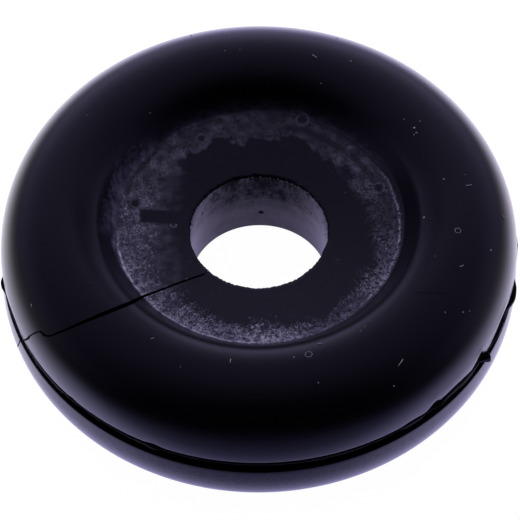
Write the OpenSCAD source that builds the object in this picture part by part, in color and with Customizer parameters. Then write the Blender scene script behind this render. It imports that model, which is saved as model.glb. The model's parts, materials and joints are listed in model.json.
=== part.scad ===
// Split rubber grommet, one moulded piece with two rounded lips, a thin panel slot between them,
// a shallow dish in each face, a plain bore and one leaning knife cut from the bore to the rim.
// It lies flat: the bore runs along Z, and the slot's middle plane is Z = 0.

/* [Lips] */
// Diameter over the two lips
lip_d = 30; // [27:0.5:36]
// Thickness over the two lips
lip_t = 10; // [9:0.25:12]
// Radius of the outer rounding of each lip
lip_round = 3.8; // [3:0.1:4.2]
// Radius of the inner rounding, from the crest down to the dish
crown_round = 2.3; // [1.7:0.1:2.8]
// Height from the lip's crest down to the rim of the dish
crown_drop = 0.8; // [0.4:0.05:1.2]

/* [Dish] */
// Width of the sloping wall round the dish, seen from above
wall_w = 1.1; // [0.6:0.05:1.6]
// Height of the dish floor above the middle plane at its outer edge
floor_z = 3; // [2.6:0.05:3.6]

/* [Web and bore] */
// Diameter of the bore
bore_d = 8; // [5:0.25:10]
// Thickness of the web at the bore
web_t = 5; // [3.5:0.1:6]

/* [Panel slot] */
// Width of the slot that takes the panel's edge
slot_w = 0.8; // [0.5:0.05:1.6]
// Diameter at the slot's root, which is the panel's hole
slot_root_d = 20; // [17:0.5:25]

/* [Slit] */
// Width of the open knife cut
slit_w = 0.14; // [0.06:0.01:0.4]
// Direction of the cut in plan, from -X towards -Y
slit_turn = 23.6; // [0:0.5:60]
// Lean of the knife away from upright
slit_lean = 36.5; // [0:0.5:40]
// Distance from the bore's axis to the cut at the middle plane
slit_side = 0.3; // [0:0.05:1]

/* [Moulding flash] */
// Thickness of the flash skin along the upper lip's slot edge
flash_t = 0.08; // [0.05:0.01:0.15]
// Furthest that the skin stands out past the edge
flash_reach = 0.16; // [0.05:0.01:0.3]
// Furthest that a torn tag of skin hangs into the slot, as a share of the slot's width
tag_hang = 0.85; // [0.3:0.05:0.95]

/* [Hidden] */
$fn = 96;

rubber = "#25232a";

// Radii and heights of the section's corners
lip_r = lip_d / 2;
half_t = lip_t / 2;
bore_r = bore_d / 2;
root_r = slot_root_d / 2;
crest_r = lip_r - lip_round;
rim_r = crest_r - sqrt(pow(crown_round, 2) - pow(crown_round - crown_drop, 2));
rim_z = half_t - crown_drop;
floor_r = rim_r - wall_w;

// Radius of a lip's rounding at a height above the middle plane
function lip_edge_r(z) = crest_r + sqrt(pow(lip_round, 2) - pow(half_t - lip_round - z, 2));

// Upper corner points of the web, from the bore out to the slot's root
function web_corners(s) = [
    [bore_r, s * web_t / 2],
    [floor_r, s * floor_z],
    [rim_r, s * rim_z],
    [crest_r, s * rim_z],
    [crest_r, s * slot_w / 2],
    [root_r, s * slot_w / 2]
];
function reversed(list) = [for (i = [len(list) - 1:-1:0]) list[i]];

// Half section of the grommet, at X = distance from the axis
module section() {
    polygon(concat(web_corners(1), reversed(web_corners(-1))));
    for (s = [0, 1]) mirror([0, s]) {
        // Outer rounding, from the crest down to the slot's edge
        intersection() {
            translate([crest_r, half_t - lip_round]) circle(r = lip_round);
            translate([crest_r, slot_w / 2]) square([lip_round + 1, half_t]);
        }
        // Inner rounding, from the crest down to the rim of the dish
        intersection() {
            translate([crest_r, half_t - crown_round]) circle(r = crown_round);
            translate([rim_r, rim_z]) square([crest_r - rim_r, half_t]);
        }
    }
}

// The knife's path: [share of the way from the bore to the rim, step aside in mm, share of slit_w]
slit_path = [
    [-0.15, 0.10, 0.7], [0.02, 0.09, 0.7], [0.16, -0.03, 0.7], [0.30, -0.07, 0.7],
    [0.38, 0.05, 0.9], [0.44, 0.04, 1], [0.52, 0, 1], [0.76, 0, 1],
    [0.85, -0.09, 0.9], [0.92, -0.15, 0.9], [0.94, 0.02, 0.6], [0.95, 0.17, 0.5],
    [0.975, 0.14, 0.5], [1, 0.03, 0.5], [1.1, -0.2, 0.5]
];
function slit_point(p, s) = [
    -(bore_r + p[0] * (lip_r - bore_r)),
    p[1] + s * p[2] * slit_w / 2
];

// Thin leaning slab that the knife took out
module slit() {
    rotate([0, 0, slit_turn])
        translate([0, slit_side, 0])
            rotate([slit_lean, 0, 0])
                linear_extrude(height = lip_t / cos(slit_lean) + 4, center = true)
                    polygon(concat(
                        [for (p = slit_path) slit_point(p, 1)],
                        [for (p = reversed(slit_path)) slit_point(p, -1)]
                    ));
}

// Torn tags of flash: [angle round the rim, width in degrees, share of tag_hang]
tags = [
    [-28, 2.2, 1], [-42, 4.5, 0.55], [-48, 3, 0.8], [-53.5, 1.6, 0.45],
    [-102, 3, 0.5], [-113, 5, 0.6], [-146, 2.5, 0.4], [-172, 4, 0.5],
    [-6, 5, 0.6], [3, 2.5, 0.5], [64, 4, 0.7], [118, 3, 0.5]
];

// Ragged outline of the flash skin: a few waves and a shallow tear between them
function rag(a) = 0.45 + 0.25 * sin(7 * a + 40) + 0.18 * sin(19 * a) + 0.12 * sin(43 * a + 75);

flash_z = slot_w / 2;
skin_r = lip_edge_r(flash_z);

// Thin ragged skin where the mould's halves met, along the upper lip's slot edge
module flash_skin() {
    translate([0, 0, flash_z])
        linear_extrude(height = flash_t)
            difference() {
                polygon([for (a = [0:3:357])
                    (skin_r + flash_reach * rag(a)) * [cos(a), sin(a)]]);
                circle(r = skin_r - 0.6);
            }
}

// One tag: a thin torn tooth that hangs from the skin into the slot
module flash_tag(tag) {
    w = skin_r * tag[1] * PI / 180;
    hang = tag_hang * slot_w * tag[2];
    rotate([0, 0, tag[0]])
        translate([skin_r - flash_t, 0, flash_z + flash_t / 2])
            rotate([90, 0, 90])
                linear_extrude(height = flash_t)
                    polygon([
                        [-w / 2, 0], [-w * 0.36, -hang * 0.7], [-w * 0.1, -hang * 0.6],
                        [w * 0.08, -hang - flash_t / 2], [w * 0.3, -hang * 0.5], [w / 2, 0]
                    ]);
}

module grommet() {
    color(rubber)
        difference() {
            union() {
                rotate_extrude() section();
                flash_skin();
                for (tag = tags) flash_tag(tag);
            }
            slit();
        }
}

grommet();
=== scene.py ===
# %% [markdown]
# # A split rubber grommet, modelled and lit in Blender
# The real part is one moulded piece of black rubber that lines a hole in a panel, so a cable can pass without
# chafing. It has two fat rounded lips, a thin slot between them for the panel, a shallow dish in each face, a
# bore, and one knife cut from the bore to the rim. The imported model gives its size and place, in metres, with
# the bore along Z and the slot's middle plane at Z = 0.

# %% Load the fixed frame
import json
import math

import bpy
from mathutils import Matrix, Vector

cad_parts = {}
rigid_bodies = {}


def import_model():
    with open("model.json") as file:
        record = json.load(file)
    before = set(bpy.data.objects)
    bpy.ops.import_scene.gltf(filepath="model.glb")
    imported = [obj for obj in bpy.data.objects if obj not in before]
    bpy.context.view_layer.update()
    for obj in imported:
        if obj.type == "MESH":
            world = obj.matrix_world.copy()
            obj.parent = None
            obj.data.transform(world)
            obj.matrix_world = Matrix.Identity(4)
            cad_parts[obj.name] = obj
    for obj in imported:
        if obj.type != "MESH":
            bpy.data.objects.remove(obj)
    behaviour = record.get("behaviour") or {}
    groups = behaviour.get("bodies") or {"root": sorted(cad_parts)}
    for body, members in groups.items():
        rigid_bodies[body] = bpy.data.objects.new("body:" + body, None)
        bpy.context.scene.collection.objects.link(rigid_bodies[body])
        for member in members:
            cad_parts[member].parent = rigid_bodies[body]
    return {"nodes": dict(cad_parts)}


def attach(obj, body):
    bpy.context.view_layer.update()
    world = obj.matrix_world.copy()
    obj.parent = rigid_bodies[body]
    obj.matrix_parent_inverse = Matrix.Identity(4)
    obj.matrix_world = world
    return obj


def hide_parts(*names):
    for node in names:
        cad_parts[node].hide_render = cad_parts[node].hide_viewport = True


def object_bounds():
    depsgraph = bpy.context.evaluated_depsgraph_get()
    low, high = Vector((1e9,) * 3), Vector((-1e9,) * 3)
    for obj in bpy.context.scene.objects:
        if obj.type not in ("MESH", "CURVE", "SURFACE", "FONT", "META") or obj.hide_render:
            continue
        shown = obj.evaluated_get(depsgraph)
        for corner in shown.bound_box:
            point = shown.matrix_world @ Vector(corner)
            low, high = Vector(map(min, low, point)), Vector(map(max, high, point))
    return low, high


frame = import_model()
cad_low, cad_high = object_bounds()
MM = 0.001
print("frame:", sorted(frame["nodes"]), "box in mm:", [round(v / MM, 2) for v in (*cad_low, *cad_high)])

# %% [markdown]
# ## The camera
# The photograph was taken from about half a metre, looking down at 54 degrees, with a long lens that keeps
# the circles' perspective slight. The numbers come from fitting the section's circles to the outlines in the
# photograph. A small roll levels the grommet in the frame as the photographer had it.

# %% Camera
PHOTO_PX = 520
TILT = math.radians(54.3)
DISTANCE = 400 * MM
PX_PER_MM = 17.151
AIM_X, AIM_Y = 0.053 * MM, -0.23 * MM
ROLL = math.radians(-0.66)


def view_axes(tilt, roll):
    """The camera's right and up directions, and the way it looks."""
    look = Vector((0, math.cos(tilt), -math.sin(tilt)))
    right, up = Vector((1, 0, 0)), Vector((0, math.sin(tilt), math.cos(tilt)))
    turned_right = math.cos(roll) * right + math.sin(roll) * up
    turned_up = -math.sin(roll) * right + math.cos(roll) * up
    return turned_right, turned_up, look


def place_camera():
    """A camera whose frame and perspective match the photograph."""
    right, up, look = view_axes(TILT, ROLL)
    flat_right, flat_up, _ = view_axes(TILT, 0)
    data = bpy.data.cameras.new("photo_camera")
    data.sensor_width = 36
    data.lens = PX_PER_MM * DISTANCE / MM / PHOTO_PX * data.sensor_width
    data.clip_start, data.clip_end = 0.05, 20
    camera = bpy.data.objects.new("photo_camera", data)
    turn = Matrix((right, up, -look)).transposed().to_4x4()
    where = -look * DISTANCE + flat_right * AIM_X + flat_up * AIM_Y
    camera.matrix_world = Matrix.Translation(where) @ turn
    bpy.context.scene.collection.objects.link(camera)
    bpy.context.scene.camera = camera
    return camera


camera = place_camera()
print("camera: lens", round(camera.data.lens, 1), "mm, at", [round(v / MM, 1) for v in camera.location], "mm")

# %% [markdown]
# ## The section
# A round moulded part is easiest to draw as half of its cross-section, the way a lathe tool would follow it.
# Each lip has two roundings that meet smoothly at its crest: a large one down the outside and a smaller one
# down into the dish. Below are the sizes of that section, in millimetres.

# %% Sizes of the section
LIP_R, HALF_T = 15.0, 5.0
LIP_ROUND, CROWN_ROUND, CROWN_DROP = 3.8, 2.65, 0.8
WALL_W, FLOOR_Z = 0.95, 3.0
BORE_R, HALF_WEB = 4.0, 2.5
HALF_SLOT, ROOT_R = 0.4, 10.0
CREST_R = LIP_R - LIP_ROUND
RIM_R = CREST_R - math.sqrt(CROWN_ROUND**2 - (CROWN_ROUND - CROWN_DROP) ** 2)
RIM_Z = HALF_T - CROWN_DROP
FLOOR_R = RIM_R - WALL_W
LIP_Z = HALF_T - LIP_ROUND
SIDE_ROUND, ROLL, EDGE_LOW = 5.0, 0.3, 0.9
print("crest at", CREST_R, "mm, dish rim at", round(RIM_R, 2), "mm, floor edge at", round(FLOOR_R, 2), "mm")

# %% [markdown]
# ## Drawing with one vertex
# A plane merged to one point is the pen. Extruding the vertex draws a straight line, and spinning it about a
# centre draws an arc, so each rounding is a true arc however many points it gets.

# %% A pen for sections
def deselect_all():
    """Nothing is selected, so that the next operator acts only on what is meant."""
    if bpy.context.object and bpy.context.object.mode != "OBJECT":
        bpy.ops.object.mode_set(mode="OBJECT")
    bpy.ops.object.select_all(action="DESELECT")


class Pen:
    """Draws a section in the XZ plane, in millimetres, with edit mode's own operators."""

    def __init__(self, name, x, z):
        deselect_all()
        bpy.ops.mesh.primitive_plane_add(size=MM, location=(0, 0, 0))
        self.piece = bpy.context.object
        self.piece.name = self.piece.data.name = name
        bpy.ops.object.mode_set(mode="EDIT")
        bpy.ops.mesh.select_mode(type="VERT")
        bpy.ops.mesh.merge(type="CENTER")
        bpy.ops.transform.translate(value=(x * MM, 0, z * MM))
        self.x, self.z = x, z

    def line(self, x, z, cuts=1):
        for _ in range(cuts):
            step = ((x - self.x) * MM / cuts, 0, (z - self.z) * MM / cuts)
            bpy.ops.mesh.extrude_vertices_move(TRANSFORM_OT_translate={"value": step})
        self.x, self.z = x, z
        return self

    def path(self, *corners):
        for corner in corners:
            self.line(*corner)
        return self

    def arc(self, centre_x, centre_z, degrees, cuts):
        """Turns the pen about a centre; positive turns from +X towards +Z."""
        turn = math.radians(degrees)
        bpy.ops.mesh.spin(
            steps=cuts, angle=turn, center=(centre_x * MM, 0, centre_z * MM), axis=(0, 1, 0)
        )
        dx, dz = self.x - centre_x, self.z - centre_z
        self.x = centre_x + dx * math.cos(turn) - dz * math.sin(turn)
        self.z = centre_z + dx * math.sin(turn) + dz * math.cos(turn)
        return self


def degrees_to(height, radius):
    """How far round a lip's rounding a height lies, from level, in degrees."""
    return math.degrees(math.asin(height / radius))


print("pen ready")

# %% [markdown]
# ## The grommet's body
# The pen runs from the bore's torn upper edge over the dish, the lip, the thin step where the flash tore off,
# the slot, and back along the underside. The upper lip rolls in a little above the step. A Screw modifier with no rise turns the section once about Z, as a
# lathe does. Merging by distance closes the seam, and the normals are then made to face out.

# %% Draw the section
crown_turn = math.degrees(math.atan2(RIM_Z - (HALF_T - CROWN_ROUND), CREST_R - RIM_R))
pen = Pen("grommet_body", BORE_R, 2.2)
pen.path((3.99, 2.33), (3.995, 2.39), (4.03, 2.44), (4.08, 2.48), (4.15, 2.51), (4.25, 2.52))
pen.line(FLOOR_R - 0.06, FLOOR_Z - 0.01, 8)
pen.line(FLOOR_R + 0.04, FLOOR_Z + 0.03)
pen.line(RIM_R, RIM_Z, 5)
pen.arc(CREST_R, HALF_T - CROWN_ROUND, crown_turn - 90, 9)
pen.arc(CREST_R, LIP_Z, -82, 22)
for radius, start, turn, cuts in ((SIDE_ROUND, 82, 11, 6), (ROLL, 93, 37, 8)):
    out, up = math.sin(math.radians(start)), math.cos(math.radians(start))
    pen.arc(pen.x - radius * out, pen.z - radius * up, -turn, cuts)
pen.path((14.9, 0.56), (14.897, 0.53), (14.925, 0.5), (14.945, 0.475), (14.957, 0.44), (14.96, 0.41))
pen.path((14.955, 0.37), (14.93, 0.335), (14.88, 0.315), (14.8, 0.33), (14.6, 0.37), (14.1, 0.4))
pen.path((12.3, 0.4), (ROOT_R + 0.2, 0.4), (ROOT_R, 0.2), (ROOT_R, -0.2), (ROOT_R + 0.2, -0.4))
pen.path((12.3, -0.4), (14.6, -0.4), (14.9, -0.405), (14.945, -0.42), (14.962, -0.5), (14.972, -0.62), (14.98, -0.75))
pen.line(CREST_R + LIP_ROUND * math.cos(math.radians(degrees_to(EDGE_LOW - LIP_Z, LIP_ROUND))), -EDGE_LOW)
pen.arc(CREST_R, -LIP_Z, degrees_to(EDGE_LOW - LIP_Z, LIP_ROUND) - 90, 20)
pen.arc(CREST_R, CROWN_ROUND - HALF_T, crown_turn - 90, 6)
pen.line(FLOOR_R, -FLOOR_Z, 3)
pen.line(4.06, -2.505, 4)
pen.line(BORE_R, -2.45)
pen.line(BORE_R, 2.2, 9)
section_points = len(pen.piece.data.vertices)
bpy.ops.object.mode_set(mode="OBJECT")
print("section:", len(pen.piece.data.vertices), "points, back at", round(pen.x, 3), round(pen.z, 3))

# %% Turn it into the body
BODY_STEPS = 720
body = pen.piece
lathe = body.modifiers.new("lathe", "SCREW")
lathe.axis, lathe.angle, lathe.steps, lathe.render_steps = "Z", math.tau, BODY_STEPS, BODY_STEPS
lathe.use_merge_vertices, lathe.merge_threshold = True, 0.002 * MM
bpy.ops.object.modifier_apply(modifier=lathe.name)
bpy.ops.object.mode_set(mode="EDIT")
bpy.ops.mesh.select_all(action="SELECT")
bpy.ops.mesh.remove_doubles(threshold=0.002 * MM)
bpy.ops.mesh.normals_make_consistent(inside=False)
bpy.ops.object.mode_set(mode="OBJECT")
print("body:", len(body.data.vertices), "points,", len(body.data.polygons), "faces")

# %% [markdown]
# ## Torn edges
# Where the mould's halves met, a skin of flash was pulled off by hand. It left a ragged strip along the upper
# lip's lower edge, with flaps that stand out, a sharp nib at the right, and places where the lip itself is torn.
# Each table gives the angle round the rim, how far the feature reaches to either side in degrees, and how
# strong it is. A vertex group holds those strengths, and a modifier moves the group.

# %% Helpers for edges
def swell(angle, features):
    """How strongly any of the features (centre, reach below, reach above, strength) acts at an angle."""
    strongest = 0.0
    for centre, below, above, strength in features:
        off = (angle - centre + 180) % 360 - 180
        share = off / above if off > 0 else -off / below
        if share < 1:
            strongest = max(strongest, strength * (1 - share * share) ** 2)
    return strongest


def group_by_place(piece, name, weight_at):
    """A vertex group whose weights come from weight_at(r, z, angle), in mm and degrees."""
    group = piece.vertex_groups.new(name=name)
    count = 0
    for point in piece.data.vertices:
        x, y, z = point.co / MM
        weight = weight_at(math.hypot(x, y), z, math.degrees(math.atan2(y, x)))
        if weight > 0.001:
            group.add([point.index], min(1.0, weight), "REPLACE")
            count += 1
    return count


def apply_last(piece, step):
    """Applies one modifier to one piece."""
    deselect_all()
    piece.select_set(True)
    bpy.context.view_layer.objects.active = piece
    bpy.ops.object.modifier_apply(modifier=step.name)


def roughen(piece, group, grain_mm, strength_mm, direction="NORMAL"):
    """Moves a group's points by a cloud pattern of a given grain."""
    clouds = bpy.data.textures.new(group + "_clouds", "CLOUDS")
    clouds.noise_scale, clouds.noise_depth = grain_mm * MM, 2
    step = piece.modifiers.new(group + "_rough", "DISPLACE")
    step.texture, step.texture_coords = clouds, "LOCAL"
    step.vertex_group, step.direction = group, direction
    step.strength, step.mid_level = strength_mm * MM, 0.5
    apply_last(piece, step)


def lift(piece, group, up_mm):
    """Moves a group's points straight up or down, each by its own weight."""
    step = piece.modifiers.new(group + "_lift", "DISPLACE")
    step.vertex_group, step.direction = group, "Z"
    step.strength, step.mid_level = up_mm * MM, 0.0
    apply_last(piece, step)


def draw_to(piece, group, radius_mm):
    """Moves a group's points towards a cylinder round the axis, each by its own weight."""
    step = piece.modifiers.new(group + "_draw", "CAST")
    step.cast_type, step.factor, step.vertex_group = "CYLINDER", 1.0, group
    step.use_z, step.use_radius_as_size, step.size = False, False, radius_mm * MM
    apply_last(piece, step)


# %% Tear them
FLAPS = [(-12.5, 5.0, 5.5, 0.6), (-30, 2.2, 1.2, 0.85), (-22, 7, 5, 0.25), (2, 9, 12, 0.26), (-172, 2.8, 3.4, 0.42),
         (-179, 2, 3, 0.15), (175, 9, 5, 0.2), (-47, 2, 3, 0.25), (-114, 3, 2, 0.2), (64, 3, 4, 0.3), (118, 2, 3, 0.2)]
TEARS = [(-31.8, 5.0, 1.2, 1.0), (-48, 3.2, 2.4, 0.6), (-42, 10, 9, 0.42), (-55, 3, 4, 0.15), (-21, 8, 9, 1.0), (-114.5, 2.2, 3, 0.16),
         (-136, 1.5, 1.5, 0.12), (-163, 9, 8, 0.6), (70, 3, 5, 0.3)]
for name in ("moulded_black_rubber", "cut_rubber", "torn_rubber"):
    body.data.materials.append(bpy.data.materials.new(name))
for face in body.data.polygons:
    x, y, z = face.center / MM
    r = math.hypot(x, y)
    if r > 14.55 and 0.31 < z < 0.55:
        face.material_index = 2
HANGING = [(-30, 2.4, 2, 0.7), (-20, 7, 6, 0.7), (-38, 9, 8, 0.8), (-54, 5, 4, 0.7), (-117, 6, 5, 0.45), (-146, 16, 14, 0.6),
           (-75, 12, 12, 0.3), (-12, 7, 7, 0.5), (-172, 4, 6, 0.5)]
on_strip = lambda r, z: 14.86 < r < 15 and 0.3 < z < 0.51
on_lower_edge = lambda r, z: 14.79 < r < 15 and 0.3 < z < 0.36
counts = (
    group_by_place(body, "strip", lambda r, z, a: float(on_strip(r, z))),
    group_by_place(body, "strip_low", lambda r, z, a: float(on_lower_edge(r, z))),
    group_by_place(body, "hanging", lambda r, z, a: swell(a, HANGING) if on_lower_edge(r, z) else 0),
    group_by_place(body, "flaps", lambda r, z, a: swell(a, FLAPS) * min(1, (0.54 - z) / 0.08) if on_strip(r, z) else 0),
    group_by_place(body, "torn_lip",
                   lambda r, z, a: swell(a, TEARS) * max(0, 1 - (z - 0.6) / 1.1) if r > 14.84 and z > 0.52 else 0),
    group_by_place(body, "torn_in", lambda r, z, a: swell(a, TEARS) if 14.88 < r < 14.91 and 0.52 < z < 0.57 else 0),
    group_by_place(body, "bore_edge", lambda r, z, a: float(r < 4.12 and 2.3 < z < 2.55)),
)
roughen(body, "strip_low", 1.6, 0.24, "Z")
roughen(body, "strip_low", 0.3, 0.14, "Z")
roughen(body, "strip", 0.5, 0.07)
roughen(body, "strip", 0.16, 0.05, "Z")
lift(body, "hanging", -0.35)
draw_to(body, "flaps", 15.42)
lift(body, "torn_lip", 0.7)
draw_to(body, "torn_in", 14.6)
roughen(body, "bore_edge", 0.7, 0.12)
roughen(body, "bore_edge", 0.14, 0.09)
print("torn points:", counts)

# %% [markdown]
# ## The knife cut
# The cut leans well away from upright and wanders a little, as a hand-held blade does in rubber. Its path is
# extruded along the blade's lean into a wavy ribbon. Solidify gives the ribbon the width of the gap, which a
# vertex group narrows with depth, and a Boolean takes it out of the body. The cut faces keep their own slot.

# %% Cut the slit
CUT_TURN, CUT_LEAN, CUT_SIDE = 23.6, 36.5, 0.3
CUT_PATH = [
    (2.4, 0.4, 0.2), (3.4, 0.2, 0.2), (3.9, 0.1, 0.4), (4.1, 0.05, 0.6), (4.35, 0.03, 0.85), (4.7, 0.045, 0.6),
    (5.0, 0.06, 0.4), (5.7, 0.075, 0.34), (6.4, 0.075, 0.34), (7.05, 0.06, 0.34), (7.8, 0.07, 0.38), (8.8, 0.08, 0.4),
    (10.1, 0.085, 0.4), (11.4, 0.05, 0.38), (12.6, -0.03, 0.32),
    (13.15, -0.09, 0.27), (13.65, -0.135, 0.24), (13.95, -0.172, 0.22), (14.16, -0.187, 0.22), (14.29, -0.13, 0.24),
    (14.38, -0.04, 0.25), (14.41, 0.1, 0.25), (14.44, 0.21, 0.25), (14.6, 0.22, 0.25), (14.76, 0.18, 0.26),
    (14.89, 0.115, 0.3), (14.96, -0.02, 0.4), (15.1, -0.16, 0.4), (16.1, -0.5, 0.4),
]
# The blade's rows, as a share of its depth, with how open the gap is there, along the cut and close to the bore.
CUT_ROWS = [(-1.0, 0.1, 0.01), (0.0, 0.22, 0.015), (0.31, 0.33, 0.022), (1.0, 1.0, 1.0)]
CUT_WIDTH, CUT_DEPTH = 0.7, 7.6


def cut_point(along, aside, deep):
    """A point of the blade's own plane, in the part's frame, in millimetres."""
    turn = Matrix.Rotation(math.radians(CUT_TURN), 3, "Z")
    lean = Matrix.Rotation(math.radians(CUT_LEAN), 3, "X")
    return turn @ (lean @ Vector((-along, aside, deep)) + Vector((0, CUT_SIDE, 0)))


deselect_all()
bpy.ops.mesh.primitive_plane_add(size=MM, location=(0, 0, 0))
blade = bpy.context.object
blade.name = "blade"
bpy.ops.object.mode_set(mode="EDIT")
bpy.ops.mesh.select_mode(type="VERT")
bpy.ops.mesh.merge(type="CENTER")
at = Vector((0, 0, 0))
for number, (along, aside, _) in enumerate(CUT_PATH):
    goal = cut_point(along, aside, -CUT_DEPTH) * MM
    if number == 0:
        bpy.ops.transform.translate(value=goal - at)
    else:
        bpy.ops.mesh.extrude_vertices_move(TRANSFORM_OT_translate={"value": goal - at})
    at = goal
bpy.ops.mesh.select_all(action="SELECT")
blade_run = (cut_point(0, 0, CUT_DEPTH) - cut_point(0, 0, 0)) * MM
for (low_row, _, _), (high_row, _, _) in zip(CUT_ROWS, CUT_ROWS[1:]):
    bpy.ops.mesh.extrude_region_move(TRANSFORM_OT_translate={"value": blade_run * (high_row - low_row)})
bpy.ops.object.mode_set(mode="OBJECT")
# The gap narrows with depth, where the rubber closes again behind the blade. Close to the bore it is a mere nick.
opening = blade.vertex_groups.new(name="opening")
twist = blade.vertex_groups.new(name="twist")
for row, (_, along_cut, at_bore) in enumerate(CUT_ROWS):
    for number, (along, _, share) in enumerate(CUT_PATH):
        near_bore = min(1, max(0, (5.2 - along) / 0.8))
        openness = along_cut + (at_bore - along_cut) * near_bore
        opening.add([number + row * len(CUT_PATH)], share * openness, "REPLACE")
# The blade turned in the hand as it left the lower lip.
twist.add([number for number, (along, _, _) in enumerate(CUT_PATH) if along > 14.8], 1.0, "REPLACE")
lift(blade, "twist", -5)
gap = blade.modifiers.new("gap", "SOLIDIFY")
gap.thickness, gap.offset, gap.use_even_offset = CUT_WIDTH * MM, 0, True
gap.vertex_group, gap.thickness_vertex_group = opening.name, 0.005
apply_last(blade, gap)
for slot in body.material_slots:
    blade.data.materials.append(slot.material)
for face in blade.data.polygons:
    face.material_index = 1

cut = body.modifiers.new("cut", "BOOLEAN")
cut.operation, cut.object, cut.solver = "DIFFERENCE", blade, "EXACT"
apply_last(body, cut)
bpy.data.objects.remove(blade)
# Where the cut runs close along an edge, it leaves points that only two edges meet at, and slivers between them.
meeting = [0] * len(body.data.vertices)
for edge in body.data.edges:
    for end in edge.vertices:
        meeting[end] += 1
deselect_all()
body.select_set(True)
bpy.ops.object.mode_set(mode="EDIT")
bpy.ops.mesh.select_mode(type="VERT")
bpy.ops.mesh.select_all(action="DESELECT")
bpy.ops.object.mode_set(mode="OBJECT")
for point, edges in zip(body.data.vertices, meeting):
    point.select = edges == 2
spare = meeting.count(2)
bpy.ops.object.mode_set(mode="EDIT")
bpy.ops.mesh.dissolve_verts()
bpy.ops.object.mode_set(mode="OBJECT")
print("spare points dissolved:", spare)
bpy.ops.object.shade_smooth_by_angle(angle=math.radians(35))
cut_faces = sum(face.material_index == 1 for face in body.data.polygons)
print("slit cut:", len(body.data.vertices), "points,", len(body.data.polygons), "faces,", cut_faces, "of them cut")

# %% [markdown]
# ## Colours
# Colours are written as sRGB hex values, as a colour picker shows them, and one function turns them to the
# linear values that the shaders work in. Another adds a node with its settings and links.

# %% Colour and node helpers
def linear(hex_colour):
    """An sRGB hex colour as linear red, green, blue and alpha."""
    parts = [int(hex_colour[i : i + 2], 16) / 255 for i in (1, 3, 5)]
    return [v / 12.92 if v <= 0.04045 else ((v + 0.055) / 1.055) ** 2.4 for v in parts] + [1.0]


def add_node(tree, kind, settings=None, **links):
    """Adds a node. Settings name its properties, and links name inputs: a value, or another node's output."""
    node = tree.nodes.new(kind)
    for name, value in (settings or {}).items():
        setattr(node, name, value)
    for name, value in links.items():
        wanted = name.replace("_", " ")
        socket = next(
            s for i, s in enumerate(node.inputs)
            if s.enabled and (s.name == wanted or name == f"in{i}")
        )
        if isinstance(value, bpy.types.NodeSocket):
            tree.links.new(value, socket)
        else:
            socket.default_value = value
    return node


def calc(tree, operation, *values):
    """The result of a Math node, where each value is a number or an output."""
    links = {f"in{i}": value for i, value in enumerate(values)}
    return add_node(tree, "ShaderNodeMath", {"operation": operation}, **links).outputs[0]


def ease(tree, value, low, high):
    """0 at low and 1 at high with a smooth step between. High may be the smaller one."""
    return add_node(tree, "ShaderNodeMapRange", {"interpolation_type": "SMOOTHSTEP"},
                    in0=value, in1=low, in2=high).outputs[0]


def noise(tree, at, per_mm, detail=3.0, rough=0.6):
    """A cloudy pattern round 0.5 with a given number of cells to the millimetre."""
    return add_node(tree, "ShaderNodeTexNoise", Vector=at, Scale=per_mm, Detail=detail, Roughness=rough).outputs[0]


print("black rubber in linear values:", [round(v, 4) for v in linear("#030306")[:3]])

# %% [markdown]
# ## Moulded rubber
# The real material is a carbon-black filled rubber such as nitrile or EPDM, pressed in a steel mould. It has
# almost no colour of its own: what the eye sees is the soft reflection of the studio. On the dish floor lies a
# grey bloom, the powdery film that waxes and release agent leave. Its table gives, round the bore, where the
# bloom starts and ends in millimetres from the axis, and how thick it lies. Near the camera it is grainy and
# piled up against the wall, on the left it is pitted, and on the far side it is thin and even.

# %% Where the bloom lies
BLOOM = [
    (-180, 5.9, 8.85, 0.37), (-165, 6.0, 8.6, 0.41), (-150, 6.3, 8.45, 0.53), (-135, 6.6, 8.42, 0.55),
    (-120, 6.7, 8.42, 0.52), (-105, 6.6, 8.42, 0.52), (-90, 6.6, 8.42, 0.72), (-75, 6.9, 8.42, 0.52),
    (-60, 7.3, 8.38, 0.26), (-45, 6.9, 8.38, 0.22), (-30, 6.8, 8.38, 0.4), (-15, 6.9, 8.4, 0.36),
    (0, 6.5, 8.4, 0.14), (15, 6.45, 8.35, 0.15), (30, 6.5, 8.3, 0.26), (45, 6.4, 8.35, 0.19),
    (60, 6.6, 8.45, 0.08), (75, 6.6, 8.5, 0.085), (90, 6.5, 8.65, 0.095), (105, 6.6, 8.65, 0.135),
    (120, 6.7, 8.75, 0.17), (135, 6.5, 8.8, 0.17), (150, 6.2, 8.9, 0.26), (165, 6.1, 8.9, 0.42),
    (180, 5.9, 8.85, 0.37),
]
# Rings that dried drops left: x, y, radius and strength, in millimetres.
RINGS = [(2.63, 7.66, 0.36, 0.3), (-3.3, 6.45, 0.3, 0.25), (7.0, 2.7, 0.36, 0.3), (-7.25, 1.75, 0.62, 0.4),
         (-7.15, 1.8, 0.3, 0.3), (-4.95, 0.44, 0.16, 0.45)]
# Dark flecks on the bore's wall: angle, height and radius.
FLECKS = [(88, -1.14, 0.17), (79, 0.61, 0.13), (98, 1.1, 0.14), (145, 1.12, 0.12), (40, 0.66, 0.1), (95, -0.1, 0.07)]
print("bloom stops:", len(BLOOM))


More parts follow.
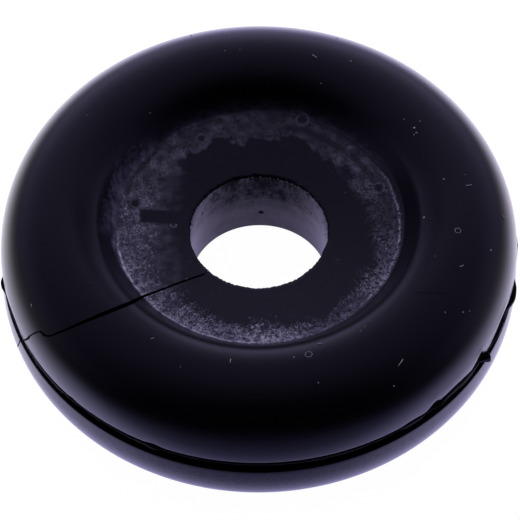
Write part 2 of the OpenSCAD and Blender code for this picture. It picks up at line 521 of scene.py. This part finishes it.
# %% Bloom and wall patterns
def bloom_mask(tree, at, x, y, z, radius):
    """How thick the bloom lies at a point, from 0 to 1."""
    turn = calc(tree, "MULTIPLY_ADD", calc(tree, "ARCTAN2", y, x), 1 / math.tau, 0.5)
    table = add_node(tree, "ShaderNodeValToRGB", Fac=turn)
    while len(table.color_ramp.elements) < len(BLOOM):
        table.color_ramp.elements.new(0.5)
    for element, (degrees, inner, outer, amount) in zip(table.color_ramp.elements, BLOOM):
        element.position = (degrees + 180) / 360
        element.color = (inner / 10, outer / 10, amount, 1)
    parts = add_node(tree, "ShaderNodeSeparateColor", Color=table.outputs[0])
    inner = calc(tree, "MULTIPLY", parts.outputs[0], 10)
    outer = calc(tree, "MULTIPLY", parts.outputs[1], 10)
    # The inner edge wanders by some tenths of a millimetre, the outer one by far less. On the far side it is crisp.
    far = ease(tree, y, 2.5, 5.5)
    left = calc(tree, "MULTIPLY", ease(tree, x, -5.0, -6.5), ease(tree, y, -1.5, 0.5))
    wander = calc(tree, "MULTIPLY_ADD", noise(tree, at, 0.9, 3, 0.5), 2.4, -1.2)
    loose = calc(tree, "ADD", radius, wander)
    rough = calc(tree, "ADD", left, calc(tree, "MULTIPLY_ADD", far, 0.3, 0.12))
    ragged = calc(tree, "MULTIPLY_ADD", noise(tree, at, 3.5), rough, radius)
    tight = calc(tree, "MULTIPLY_ADD", wander, calc(tree, "MULTIPLY_ADD", left, 0.3, 0.08), ragged)
    reach = calc(tree, "MULTIPLY_ADD", far, -0.45, 0.6)
    start = ease(tree, loose, calc(tree, "SUBTRACT", inner, reach), calc(tree, "ADD", inner, reach))
    soft = calc(tree, "MULTIPLY_ADD", left, -0.3, calc(tree, "MULTIPLY_ADD", far, -0.2, -0.14))
    end = ease(tree, tight, calc(tree, "ADD", outer, 0.1), calc(tree, "ADD", outer, soft))
    share = calc(tree, "DIVIDE", calc(tree, "SUBTRACT", radius, inner), calc(tree, "SUBTRACT", outer, inner))
    share = calc(tree, "MAXIMUM", share, 0.0)
    # Near the camera it lies thicker towards the wall, and piled up right against it.
    near = calc(tree, "MULTIPLY", ease(tree, y, 1.5, -2.0), calc(tree, "SUBTRACT", 1.0, left))
    piled = calc(tree, "MULTIPLY_ADD", share, 0.75, -0.25)
    even = calc(tree, "MULTIPLY_ADD", share, -0.1, 0.15)
    cover = add_node(tree, "ShaderNodeMix", {"data_type": "FLOAT"}, in0=near, in2=even, in3=piled).outputs[0]
    cover = calc(tree, "MULTIPLY_ADD", start, calc(tree, "ADD", cover, 1.0), -1.0)
    # Grains of about 0.1 mm in clumps of a third of a millimetre. Thin cover shows only the largest of them.
    fine = calc(tree, "MULTIPLY_ADD", noise(tree, at, 10, 2, 0.7), 3.4, -1.7)
    grains = calc(tree, "MULTIPLY_ADD", noise(tree, at, 3.0, 3, 0.6), 1.8, calc(tree, "ADD", fine, -0.9))
    grained = ease(tree, calc(tree, "ADD", grains, cover), -0.5, 1.15)
    # Small pits of about 0.15 mm, where bubbles burst, break it up, and single crumbs stand out.
    shift = add_node(tree, "ShaderNodeTexNoise", Vector=at, Scale=6.0, Detail=1.0).outputs["Color"]
    shifted = add_node(tree, "ShaderNodeVectorMath", {"operation": "MULTIPLY_ADD"}, in0=shift, in1=(0.3, 0.3, 0.3), in2=at)
    bubbles = add_node(tree, "ShaderNodeTexVoronoi", Vector=shifted.outputs[0], Scale=4.2).outputs["Distance"]
    size = calc(tree, "MULTIPLY_ADD", noise(tree, at, 1.6, 2, 0.5), 0.5, 0.16)
    pits = ease(tree, calc(tree, "SUBTRACT", bubbles, size), 0.07, -0.07)
    crumbs = add_node(tree, "ShaderNodeTexVoronoi", Vector=shifted.outputs[0], Scale=3.1).outputs["Distance"]
    crumbs = calc(tree, "MULTIPLY", ease(tree, crumbs, 0.3, 0.14), ease(tree, calc(tree, "ADD", grains, cover), -0.7, 0.2))
    grained = calc(tree, "MULTIPLY", grained, calc(tree, "MULTIPLY_ADD", pits, -0.8, 1.1))
    grained = calc(tree, "MAXIMUM", grained, crumbs)
    # At the sides it dried as a net of fine crooked threads, with meshes of about 0.35 mm.
    crook = add_node(tree, "ShaderNodeTexNoise", Vector=at, Scale=2.6, Detail=3.0).outputs["Color"]
    bent = add_node(tree, "ShaderNodeVectorMath", {"operation": "MULTIPLY_ADD"}, in0=crook, in1=(0.9, 0.9, 0.9), in2=at)
    cells = add_node(tree, "ShaderNodeTexVoronoi", {"feature": "DISTANCE_TO_EDGE"}, Vector=bent.outputs[0], Scale=2.6)
    threads = calc(tree, "MULTIPLY", ease(tree, cells.outputs["Distance"], 0.12, 0.0), ease(tree, grains, -0.7, 0.7))
    threads = calc(tree, "MULTIPLY", threads, start)
    netted = calc(tree, "MULTIPLY", ease(tree, calc(tree, "ABSOLUTE", x), 3.0, 6.0), ease(tree, y, -4.5, -1.0))
    net = calc(tree, "MAXIMUM", threads, calc(tree, "MULTIPLY", grained, 0.75))
    pattern = add_node(tree, "ShaderNodeMix", {"data_type": "FLOAT"},
                       in0=calc(tree, "MULTIPLY", netted, 0.8), in2=grained, in3=net).outputs[0]
    # On the far side, and faintly inside the net at the left, lies a thin clouded film.
    film = ease(tree, noise(tree, at, 1.8, 5, 0.65), 0.33, 0.72)
    filmy = calc(tree, "MULTIPLY", calc(tree, "MULTIPLY", film, start), calc(tree, "MULTIPLY_ADD", pits, -0.4, 1.0))
    pattern = add_node(tree, "ShaderNodeMix", {"data_type": "FLOAT"},
                       in0=calc(tree, "MULTIPLY", far, 0.65), in2=pattern, in3=filmy).outputs[0]
    fringe = ease(tree, calc(tree, "ABSOLUTE", calc(tree, "SUBTRACT", loose, calc(tree, "ADD", inner, 0.12))), 0.2, 0.04)
    fringe = calc(tree, "MULTIPLY", calc(tree, "MULTIPLY", fringe, far), ease(tree, grains, -0.6, 0.9))
    # Where the floor meets the wall near the camera, it has piled up to one thin line.
    crest = ease(tree, calc(tree, "ABSOLUTE", calc(tree, "SUBTRACT", tight, 8.34)), 0.12, 0.03)
    crest = calc(tree, "MULTIPLY", calc(tree, "MULTIPLY", crest, near), calc(tree, "MULTIPLY_ADD", grained, 0.5, 0.55))
    broken = calc(tree, "MULTIPLY_ADD", ease(tree, noise(tree, at, 2.4, 3, 0.6), 0.36, 0.6), 0.7, 0.35)
    crest = calc(tree, "MULTIPLY", crest, calc(tree, "MULTIPLY", ease(tree, x, 3.5, -1.5), broken))
    # It lies in clouds a millimetre or so wide.
    clouds = calc(tree, "MULTIPLY_ADD", ease(tree, noise(tree, at, 1.2, 2, 0.5), 0.34, 0.66), 0.65, 0.68)
    pattern = calc(tree, "MULTIPLY", calc(tree, "MULTIPLY", pattern, clouds), parts.outputs[2])
    pattern = calc(tree, "MAXIMUM", pattern, calc(tree, "MULTIPLY", fringe, parts.outputs[2]))
    mask = calc(tree, "MULTIPLY", calc(tree, "MAXIMUM", pattern, crest), end)
    haze = calc(tree, "MULTIPLY", ease(tree, x, -4.0, -5.4), ease(tree, loose, 4.6, 5.6))
    haze = calc(tree, "MULTIPLY", calc(tree, "MULTIPLY", haze, end), calc(tree, "MULTIPLY_ADD", film, 0.07, 0.01))
    mask = calc(tree, "MAXIMUM", mask, haze)
    # At the far left a haze of it has also crept up the wall, and a fainter one on the far side.
    crept = calc(tree, "MULTIPLY", ease(tree, radius, 8.0, 8.5), ease(tree, tight, 9.75, 9.15))
    aside = calc(tree, "MULTIPLY", left, ease(tree, y, 7.2, 4.4))
    beyond = calc(tree, "MULTIPLY", calc(tree, "MULTIPLY", far, 0.26), ease(tree, tight, 9.2, 8.5))
    crept = calc(tree, "MULTIPLY", crept, calc(tree, "MAXIMUM", aside, beyond))
    crept = calc(tree, "MULTIPLY", crept, calc(tree, "MULTIPLY_ADD", film, 0.22, 0.05))
    mask = calc(tree, "MAXIMUM", mask, crept)
    # A thin crisp line where the film ends, and a darker gap inside it at the far right.
    line = ease(tree, calc(tree, "ABSOLUTE", calc(tree, "SUBTRACT", tight, 8.22)), 0.1, 0.03)
    line = calc(tree, "MULTIPLY", line, calc(tree, "MULTIPLY", ease(tree, grains, -0.6, 1.0), ease(tree, y, 6.4, -2.0)))
    line = calc(tree, "MULTIPLY", line, calc(tree, "MULTIPLY", ease(tree, x, 3.0, 5.5), ease(tree, y, -6.4, -4.6)))
    mask = calc(tree, "MAXIMUM", mask, line)
    gap = ease(tree, calc(tree, "ABSOLUTE", calc(tree, "SUBTRACT", tight, 7.6)), 0.28, 0.1)
    gap = calc(tree, "MULTIPLY", gap, calc(tree, "MULTIPLY", ease(tree, x, 1.5, 3.0), ease(tree, y, 0.5, 2.0)))
    mask = calc(tree, "MULTIPLY", mask, calc(tree, "MULTIPLY_ADD", gap, -0.7, 1.0))
    for ring_x, ring_y, ring_r, strength in RINGS:
        away = calc(tree, "SQRT", calc(tree, "ADD",
                    calc(tree, "POWER", calc(tree, "ABSOLUTE", calc(tree, "SUBTRACT", x, ring_x)), 2.0),
                    calc(tree, "POWER", calc(tree, "ABSOLUTE", calc(tree, "SUBTRACT", y, ring_y)), 2.0)))
        ring = ease(tree, calc(tree, "ABSOLUTE", calc(tree, "SUBTRACT", away, ring_r)), 0.09, 0.03)
        ring = calc(tree, "MULTIPLY", ring, calc(tree, "MULTIPLY", ease(tree, grains, -0.8, 0.8), strength * 0.6))
        mask = calc(tree, "MULTIPLY", mask, ease(tree, away, ring_r * 0.3, ring_r * 0.9))
        mask = calc(tree, "MAXIMUM", mask, ring)
    # A short bar at the left where something wiped the bloom away.
    bar = calc(tree, "MULTIPLY", ease(tree, x, -6.95, -6.8), ease(tree, x, -4.0, -4.7))
    bar = calc(tree, "MULTIPLY", bar, ease(tree, calc(tree, "ABSOLUTE", calc(tree, "SUBTRACT", y, 0.95)), 0.5, 0.4))
    mask = calc(tree, "MULTIPLY", mask, calc(tree, "SUBTRACT", 1.0, bar))
    return calc(tree, "MULTIPLY", mask, ease(tree, z, 2.2, 2.5)), grains


def sheen_loss_and_painted_shade(tree, at, x, y, z, radius):
    """How much sheen a point loses, from 0 to 1: on the bore's wall blotchy above and clean below; on the near crown
    and above the torn edge it is painted shade.
    """
    blotch = noise(tree, at, 1.6, 5, 0.7)
    up = ease(tree, calc(tree, "MULTIPLY_ADD", blotch, 2.2, z), 0.2, 3.2)
    step = ease(tree, calc(tree, "MULTIPLY_ADD", blotch, 0.3, z), 0.3, 0.46)
    middle = calc(tree, "MULTIPLY", ease(tree, calc(tree, "ABSOLUTE", x), 3.4, 2.0), ease(tree, z, -0.9, -0.2))
    dull_and_shade = calc(tree, "MULTIPLY_ADD", middle, 0.34, calc(tree, "MULTIPLY_ADD", up, 0.3, calc(tree, "MULTIPLY_ADD", step, 0.2, 0.1)))
    patches = calc(tree, "MULTIPLY_ADD", noise(tree, at, 1.1, 4, 0.65), 1.2, -0.6)
    dull_and_shade = calc(tree, "ADD", dull_and_shade, patches)
    # Fine scratches and pores, mostly in the upper half.
    fine = add_node(tree, "ShaderNodeMapping", Vector=at, Scale=(1, 1, 0.7)).outputs[0]
    grit = calc(tree, "MULTIPLY_ADD", noise(tree, fine, 5, 2, 0.6), 2.8, -1.4)
    dull_and_shade = calc(tree, "MULTIPLY_ADD", grit, calc(tree, "MULTIPLY_ADD", step, 0.2, 0.1), dull_and_shade)
    specks = add_node(tree, "ShaderNodeTexVoronoi", Vector=at, Scale=2.4)
    speck = calc(tree, "MULTIPLY", ease(tree, specks.outputs["Distance"], 0.22, 0.12), calc(tree, "MULTIPLY", up, 0.9))
    dull_and_shade = calc(tree, "MAXIMUM", dull_and_shade, speck)
    for degrees, height, size in FLECKS:
        spot = (4 * math.cos(math.radians(degrees)), 4 * math.sin(math.radians(degrees)), height)
        away = add_node(tree, "ShaderNodeVectorMath", {"operation": "DISTANCE"}, in0=at, in1=spot).outputs["Value"]
        away = calc(tree, "MULTIPLY_ADD", noise(tree, at, 6), size, away)
        dull_and_shade = calc(tree, "MAXIMUM", dull_and_shade, ease(tree, away, size * 1.7, size * 1.3))
    dull_and_shade = calc(tree, "MULTIPLY", dull_and_shade, ease(tree, radius, 4.04, 4.02))
    # The lower lip is a little gritty, and one hairline scratch crosses the crest at the right.
    gritty = calc(tree, "MULTIPLY", ease(tree, z, -0.3, -0.9), ease(tree, radius, 12.0, 13.0))
    dull_and_shade = calc(tree, "MULTIPLY_ADD", gritty, calc(tree, "MULTIPLY_ADD", noise(tree, at, 4, 4, 0.7), 1.6, -0.7), dull_and_shade)
    # The dish's wall is a little duller than its floor on the near side.
    wall = calc(tree, "MULTIPLY", ease(tree, radius, 8.4, 8.5), ease(tree, radius, 9.25, 9.0))
    wall = calc(tree, "MULTIPLY", wall, calc(tree, "MULTIPLY", ease(tree, z, 2.8, 3.0), ease(tree, y, -1.0, -4.0)))
    dull_and_shade = calc(tree, "MULTIPLY_ADD", wall, 0.5, dull_and_shade)
    # The crown beside the dish on the near side, most at the left, loses sheen as well: painted shade.
    crown = calc(tree, "MULTIPLY", ease(tree, radius, 9.4, 9.7), ease(tree, radius, 11.0, 10.3))
    crown = calc(tree, "MULTIPLY", crown, calc(tree, "MULTIPLY", ease(tree, z, 3.0, 3.5), ease(tree, y, 2.5, -1.0)))
    beside = calc(tree, "MAXIMUM", ease(tree, x, -3.0, -7.0), calc(tree, "MULTIPLY", ease(tree, x, 4.5, 7.5), 0.6))
    dull_and_shade = calc(tree, "MULTIPLY_ADD", calc(tree, "MULTIPLY", crown, beside), 0.46, dull_and_shade)
    # Above the torn edge the lip loses its sheen, reaching higher towards the sides: painted shade where the lip
    # reflects the dark lower lip and the shaded floor below.
    aside = calc(tree, "ABSOLUTE", x)
    top = calc(tree, "MULTIPLY_ADD", ease(tree, aside, 11.8, 14.0), 0.55, calc(tree, "MULTIPLY_ADD", noise(tree, at, 2), 0.5, 0.45))
    painted_lip_shade = calc(tree, "MULTIPLY", ease(tree, calc(tree, "SUBTRACT", z, top), 0.15, -0.12), ease(tree, z, 0.2, 0.35))
    painted_lip_shade = calc(tree, "MULTIPLY", painted_lip_shade, calc(tree, "MULTIPLY", ease(tree, aside, 8.0, 10.0), ease(tree, y, 0.5, -1.0)))
    dull_and_shade = calc(tree, "MULTIPLY_ADD", painted_lip_shade, 0.85, dull_and_shade)
    hair = ease(tree, calc(tree, "ABSOLUTE", calc(tree, "ADD", y, 6.3)), 0.07, 0.02)
    hair = calc(tree, "MULTIPLY", hair, calc(tree, "MULTIPLY", ease(tree, x, 8.6, 9.1), ease(tree, x, 11.0, 10.4)))
    dull_and_shade = calc(tree, "MULTIPLY_ADD", hair, 0.55, dull_and_shade)
    return calc(tree, "MINIMUM", calc(tree, "MAXIMUM", dull_and_shade, 0.0), 1.0)


# %% Rubber
def make_rubber():
    material = bpy.data.materials["moulded_black_rubber"]
    material.use_nodes = True
    tree = material.node_tree
    shader = tree.nodes["Principled BSDF"]
    coords = add_node(tree, "ShaderNodeTexCoord")
    at = add_node(tree, "ShaderNodeMapping", Vector=coords.outputs["Object"], Scale=(1000, 1000, 1000)).outputs[0]
    x, y, z = add_node(tree, "ShaderNodeSeparateXYZ", Vector=at).outputs
    radius = calc(tree, "SQRT", calc(tree, "ADD", calc(tree, "MULTIPLY", x, x), calc(tree, "MULTIPLY", y, y)))
    bloom, grains = bloom_mask(tree, at, x, y, z, radius)
    # The thin film scatters blue, and the thick grains are nearly a neutral grey.
    powder = add_node(tree, "ShaderNodeMix", {"data_type": "RGBA"},
                      in0=ease(tree, bloom, 0.05, 0.7), in6=linear("#7c76a2"), in7=linear("#88819a"))
    colour = add_node(tree, "ShaderNodeMix", {"data_type": "RGBA"},
                      in0=bloom, in6=linear("#030306"), in7=powder.outputs[2])
    dull_and_shade = sheen_loss_and_painted_shade(tree, at, x, y, z, radius)
    tree.links.new(colour.outputs[2], shader.inputs["Base Color"])
    tree.links.new(calc(tree, "MULTIPLY_ADD", bloom, 0.4, 0.3), shader.inputs["Roughness"])
    # The specular level falls where sheen is lost, and in places this paints shade.
    tree.links.new(calc(tree, "MULTIPLY_ADD", dull_and_shade, -0.47, 0.5), shader.inputs["Specular IOR Level"])
    # Moulded grain of a few microns, and the bloom's own thickness of about 0.01 mm.
    skin = calc(tree, "MULTIPLY_ADD", bloom, 3.0, noise(tree, at, 5, 4, 0.6))
    bump = add_node(tree, "ShaderNodeBump", Height=skin, Distance=0.003 * MM, Strength=1.0)
    tree.links.new(bump.outputs[0], shader.inputs["Normal"])
    shader.inputs["IOR"].default_value = 1.5
    return material


def make_matt_rubber(name, colour, sheen):
    """Rubber that was cut or torn after moulding: rough and without the mould's polish."""
    material = bpy.data.materials[name]
    material.use_nodes = True
    shader = material.node_tree.nodes["Principled BSDF"]
    shader.inputs["Base Color"].default_value = linear(colour)
    shader.inputs["Roughness"].default_value = 0.75
    shader.inputs["Specular IOR Level"].default_value = sheen
    return material


rubber = make_rubber()
make_matt_rubber("cut_rubber", "#020203", 0.06)
make_matt_rubber("torn_rubber", "#040406", 0.1)
print("materials:", [slot.name for slot in body.material_slots], "the first with", len(rubber.node_tree.nodes), "nodes")

# %% [markdown]
# ## Dust
# A few specks, short fibres and one small curl of lint lie on the lips. Each is set down on the section's own
# curve at an angle round the axis and a distance from it, and they are joined into one piece.

# %% Dust and lint
# Distance from the axis, angle, kind, size in mm and, for a fibre, its turn in the surface.
DUST = [
    (11.62, -9.6, "curl", 0.17, 0), (13.35, -53.3, "fibre", 0.5, 62), (12.25, 6.4, "fibre", 0.36, 20),
    (12.4, -20.5, "fibre", 0.26, 35), (11.3, 72.5, "fibre", 0.36, -40), (11.05, -98.8, "fibre", 0.3, 80),
    (10.86, -75.3, "curl", 0.2, 0), (10.27, -70.7, "fibre", 0.24, 0), (9.58, -3.8, "speck", 0.07, 0),
    (13.62, -11.7, "speck", 0.06, 0), (10.87, 9.1, "speck", 0.055, 0), (10.64, 31, "speck", 0.075, 0),
    (10.57, 29.1, "speck", 0.06, 0), (10.4, 29.0, "speck", 0.04, 0), (11.16, 32, "speck", 0.04, 0),
    (10.51, 35.8, "speck", 0.035, 0), (13.62, -31.4, "speck", 0.045, 0), (12.93, -35, "speck", 0.04, 0),
    (13.84, -29.8, "speck", 0.035, 0), (10.89, -79.8, "speck", 0.045, 0), (14.08, -57.4, "speck", 0.04, 0),
    (11.78, 62.1, "speck", 0.045, 0), (9.82, 67.5, "speck", 0.035, 0), (11.37, 95, "speck", 0.035, 0),
    (11.42, 99.4, "speck", 0.04, 0), (12.48, 97.2, "speck", 0.035, 0), (13.14, 145.1, "speck", 0.04, 0),
    (11.98, 146, "speck", 0.03, 0), (9.54, 131.1, "speck", 0.035, 0), (14.3, -156.2, "fibre", 0.2, 70),
    (14.28, -174.1, "speck", 0.035, 0), (11.06, -151.2, "speck", 0.03, 0), (10.47, -55.1, "speck", 0.035, 0),
    (10.57, -57.1, "speck", 0.03, 0), (13.69, 106.3, "speck", 0.035, 0), (13.6, 69.5, "speck", 0.03, 0),
    (10.77, -20.3, "speck", 0.03, 0), (14.18, -0.1, "fibre", 0.26, -60), (11.13, -123.4, "fibre", 0.22, 15),
    (12.16, 10.1, "speck", 0.03, 0), (12.71, -75.1, "speck", 0.04, 0), (12.1, -112, "speck", 0.03, 0),
]


# Crumbs of torn skin along the bore's far rim: angle and height.
CRUMBS = [(104, 2.3), (98, 2.36), (95, 2.32), (88, 2.38), (80, 2.33), (73, 2.36), (70, 2.3), (60, 2.34), (52, 2.2),
          (41, 2.1), (31, 1.9), (124, 2.3), (140, 2.2), (163, 1.5), (22, 1.2), (15, 0.6)]
DUST += [(BORE_R - 0.01, degrees, "speck", 0.032, height) for degrees, height in CRUMBS]


def surface_at(r, degrees, height):
    """A point of the upper skin, or of the bore's wall at a height, in millimetres, and the normal there."""
    a = math.radians(degrees)
    if r < 4.2:
        return Vector((r * math.cos(a), r * math.sin(a), height)), Vector((-math.cos(a), -math.sin(a), 0))
    radius, centre = (LIP_ROUND, LIP_Z) if r >= CREST_R else (CROWN_ROUND, HALF_T - CROWN_ROUND)
    lean = math.asin(max(-0.75, (r - CREST_R) / radius))
    normal = Vector((math.sin(lean) * math.cos(a), math.sin(lean) * math.sin(a), math.cos(lean)))
    return Vector((r * math.cos(a), r * math.sin(a), centre + radius * math.cos(lean))), normal


def set_down(r, degrees, kind, size, turn):
    """One grain of dust, with its place and turn applied to its mesh."""
    place, normal = surface_at(r, degrees, turn)
    if kind == "speck":
        bpy.ops.mesh.primitive_ico_sphere_add(subdivisions=2, radius=size * MM)
        turned = normal.to_track_quat("Z", "Y")
        height = 0.3 * size
    elif kind == "curl":
        bpy.ops.mesh.primitive_torus_add(major_segments=24, minor_segments=6,
                                         major_radius=size * MM, minor_radius=0.016 * MM)
        turned = normal.to_track_quat("Z", "Y")
        height = 0.005
    else:
        bpy.ops.mesh.primitive_cylinder_add(vertices=8, radius=0.026 * MM, depth=size * MM)
        level = normal.cross(Vector((0, 1, 0))).normalized()
        along = Matrix.Rotation(math.radians(turn), 3, normal) @ level
        turned = along.to_track_quat("Z", "Y")
        height = 0.02
    grain = bpy.context.object
    grain.rotation_mode = "QUATERNION"
    grain.rotation_quaternion = turned
    grain.location = (place + normal * height) * MM
    bpy.ops.object.transform_apply(location=True, rotation=True, scale=True)
    return grain


deselect_all()
grains_of_dust = [set_down(*entry) for entry in DUST]
deselect_all()
for grain in grains_of_dust:
    grain.select_set(True)
bpy.context.view_layer.objects.active = grains_of_dust[0]
bpy.ops.object.join()
dust = bpy.context.object
dust.name = dust.data.name = "dust_and_lint"
bpy.ops.object.shade_smooth()
pale_lint = bpy.data.materials.new("pale_lint")
pale_lint.use_nodes = True
pale_lint.node_tree.nodes["Principled BSDF"].inputs["Base Color"].default_value = linear("#7b7982")
pale_lint.node_tree.nodes["Principled BSDF"].inputs["Roughness"].default_value = 0.9
dust.data.materials.append(pale_lint)
print("dust:", len(DUST), "grains,", len(dust.data.polygons), "faces")

# %% [markdown]
# ## The studio
# The grommet lies on a white sweep. Behind it the sweep is bright, and towards the camera the room is dark, so
# the light's strength falls off with the angle from the sweep. Two soft lamps light the surfaces at a plain
# level without showing as shapes in the gloss.

# %% Floor and world
SHEET_SCALE = 3.0
SHEET = [(0.0, 0.015), (0.17, 0.054), (0.2, 0.068), (0.215, 0.096), (0.26, 0.27), (0.3, 0.36), (0.335, 0.5), (0.375, 0.6),
         (0.43, 0.72), (0.46, 0.72), (0.54, 0.68), (0.62, 0.58), (0.73, 0.37), (0.88, 0.22), (1.0, 0.2)]
ROOM = [(0.0, 0.0), (0.15, 0.0), (0.25, 0.015), (0.5, 0.078), (0.75, 0.11), (0.88, 0.158), (0.95, 0.27),
        (0.985, 0.32), (1.0, 0.27)]


def set_ramp(ramp, stops, blue, more_blue):
    """Stops of (place, level), tinted to a lavender that is stronger the dimmer they are."""
    while len(ramp.elements) < len(stops):
        ramp.elements.new(0.5)
    for element, (where, level) in zip(ramp.elements, stops):
        element.position = where
        element.color = (level * 1.08, level, level * (blue + more_blue * (1 - level) ** 2), 1)


def make_floor():
    deselect_all()
    bpy.ops.mesh.primitive_plane_add(size=3, location=(0, 0, cad_low.z))
    floor = bpy.context.object
    floor.name = "white_sweep"
    material = bpy.data.materials.new("matt_white_paper")
    material.use_nodes = True
    tree = material.node_tree
    tree.nodes.clear()
    path = add_node(tree, "ShaderNodeLightPath")
    paper = add_node(tree, "ShaderNodeBsdfDiffuse", Color=(0.8, 0.8, 0.8, 1))
    glow = add_node(tree, "ShaderNodeEmission", Color=(1, 1, 1, 1), Strength=0.98)
    shaded = add_node(tree, "ShaderNodeBsdfDiffuse", Color=(0.1, 0.1, 0.1, 1))
    white = add_node(tree, "ShaderNodeAddShader", in0=glow.outputs[0], in1=shaded.outputs[0])
    # The sheet as the rubber reflects it: dim in front, brightest behind, and faint some 40 mm to each side.
    place = add_node(tree, "ShaderNodeTexCoord")
    axes = add_node(tree, "ShaderNodeSeparateXYZ", Vector=place.outputs["Object"])
    back = add_node(tree, "ShaderNodeMapRange", in0=axes.outputs["Y"], in1=-45 * MM, in2=75 * MM)
    fall = add_node(tree, "ShaderNodeValToRGB", Fac=back.outputs[0])
    set_ramp(fall.color_ramp, SHEET, 1.18, 1.22)
    side = add_node(tree, "ShaderNodeMath", {"operation": "ABSOLUTE"}, in0=axes.outputs["X"])
    side = add_node(tree, "ShaderNodeMapRange", {"interpolation_type": "SMOOTHSTEP"},
                    in0=side.outputs[0], in1=14 * MM, in2=41 * MM, in3=1.0, in4=0.1)
    # Under the bore the sheet's glow is darkened and turned bluer: a painted shadow of the grommet, seen in the
    # rubber's reflections.
    from_axis = add_node(tree, "ShaderNodeVectorMath", {"operation": "LENGTH"}, in0=place.outputs["Object"])
    under = add_node(tree, "ShaderNodeMapRange", {"interpolation_type": "SMOOTHSTEP"},
                     in0=from_axis.outputs["Value"], in1=6 * MM, in2=12 * MM)
    shade = add_node(tree, "ShaderNodeMix", {"data_type": "RGBA"},
                     in0=under.outputs[0], in6=(0.34, 0.32, 0.415, 1), in7=(1, 1, 1, 1))
    shaded_fall = add_node(tree, "ShaderNodeMix", {"data_type": "RGBA", "blend_type": "MULTIPLY"},
                           in0=1.0, in6=fall.outputs[0], in7=shade.outputs[2])
    # To the left the sheet is a more neutral white.
    across = add_node(tree, "ShaderNodeMapRange", in0=axes.outputs["X"], in1=-24 * MM, in2=-8 * MM)
    tint = add_node(tree, "ShaderNodeMix", {"data_type": "RGBA"},
                    in0=across.outputs[0], in6=(0.96, 1, 0.89, 1), in7=(1, 1, 1, 1))
    shaded_fall = add_node(tree, "ShaderNodeMix", {"data_type": "RGBA", "blend_type": "MULTIPLY"},
                           in0=1.0, in6=shaded_fall.outputs[2], in7=tint.outputs[2])
    level = calc(tree, "MULTIPLY", side.outputs[0], SHEET_SCALE)
    sheet = add_node(tree, "ShaderNodeEmission", Color=shaded_fall.outputs[2], Strength=level)
    eye = add_node(tree, "ShaderNodeMath", {"operation": "MAXIMUM"},
                   in0=path.outputs["Is Camera Ray"], in1=path.outputs["Is Transmission Ray"])
    mix = add_node(tree, "ShaderNodeMixShader",
                   in0=path.outputs["Is Glossy Ray"], in1=paper.outputs[0], in2=sheet.outputs[0])
    mix = add_node(tree, "ShaderNodeMixShader", in0=eye.outputs[0], in1=mix.outputs[0], in2=white.outputs[0])
    add_node(tree, "ShaderNodeOutputMaterial", Surface=mix.outputs[0])
    floor.data.materials.append(material)
    return floor


def make_world():
    world = bpy.data.worlds.new("studio")
    bpy.context.scene.world = world
    world.use_nodes = True
    tree = world.node_tree
    tree.nodes.clear()
    place = add_node(tree, "ShaderNodeTexCoord")
    axes = add_node(tree, "ShaderNodeSeparateXYZ", Vector=place.outputs["Generated"])
    share = add_node(tree, "ShaderNodeMapRange", in0=axes.outputs["Y"], From_Min=-1.0, From_Max=1.0)
    fall = add_node(tree, "ShaderNodeValToRGB", Fac=share.outputs[0])
    set_ramp(fall.color_ramp, ROOM, 1.34, 0.68)
    path = add_node(tree, "ShaderNodeLightPath")
    # Towards the horizon the walls catch light from the sheet.
    low = add_node(tree, "ShaderNodeMapRange", {"interpolation_type": "SMOOTHSTEP"},
                   in0=axes.outputs["Z"], in1=0.5, in2=0.0, in3=1.2, in4=2.25)
    room = add_node(tree, "ShaderNodeBackground", Color=fall.outputs[0], Strength=low.outputs[0])
    page = add_node(tree, "ShaderNodeBackground", Color=(1, 1, 1, 1), Strength=1.0)
    mix = add_node(tree, "ShaderNodeMixShader",
                   in0=path.outputs["Is Camera Ray"], in1=room.outputs[0], in2=page.outputs[0])
    add_node(tree, "ShaderNodeOutputWorld", Surface=mix.outputs[0])


floor = make_floor()
make_world()
print("floor at", round(cad_low.z / MM, 3), "mm")


# %% Lamps
def soft_lamp(name, size, power, azimuth, elevation, distance=0.9):
    """A square soft lamp that faces the grommet. Azimuth 0 is +X and 90 is behind it."""
    data = bpy.data.lights.new(name, "AREA")
    data.shape, data.size, data.energy = "SQUARE", size, power
    lamp = bpy.data.objects.new(name, data)
    a, e = math.radians(azimuth), math.radians(elevation)
    out = Vector((math.cos(e) * math.cos(a), math.cos(e) * math.sin(a), math.sin(e)))
    lamp.location = out * distance
    lamp.rotation_mode = "QUATERNION"
    lamp.rotation_quaternion = (-out).to_track_quat("-Z", "Y")
    lamp.visible_glossy = False
    bpy.context.scene.collection.objects.link(lamp)
    return lamp


soft_lamp("back_lamp", 0.8, 7, 90, 55)
soft_lamp("front_lamp", 0.8, 1.5, 250, 60)
bpy.context.scene.view_settings.view_transform = "Standard"
print("lamps ready")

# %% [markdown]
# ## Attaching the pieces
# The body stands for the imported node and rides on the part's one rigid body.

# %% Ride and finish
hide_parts("grommet")
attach(body, "root")
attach(dust, "root")
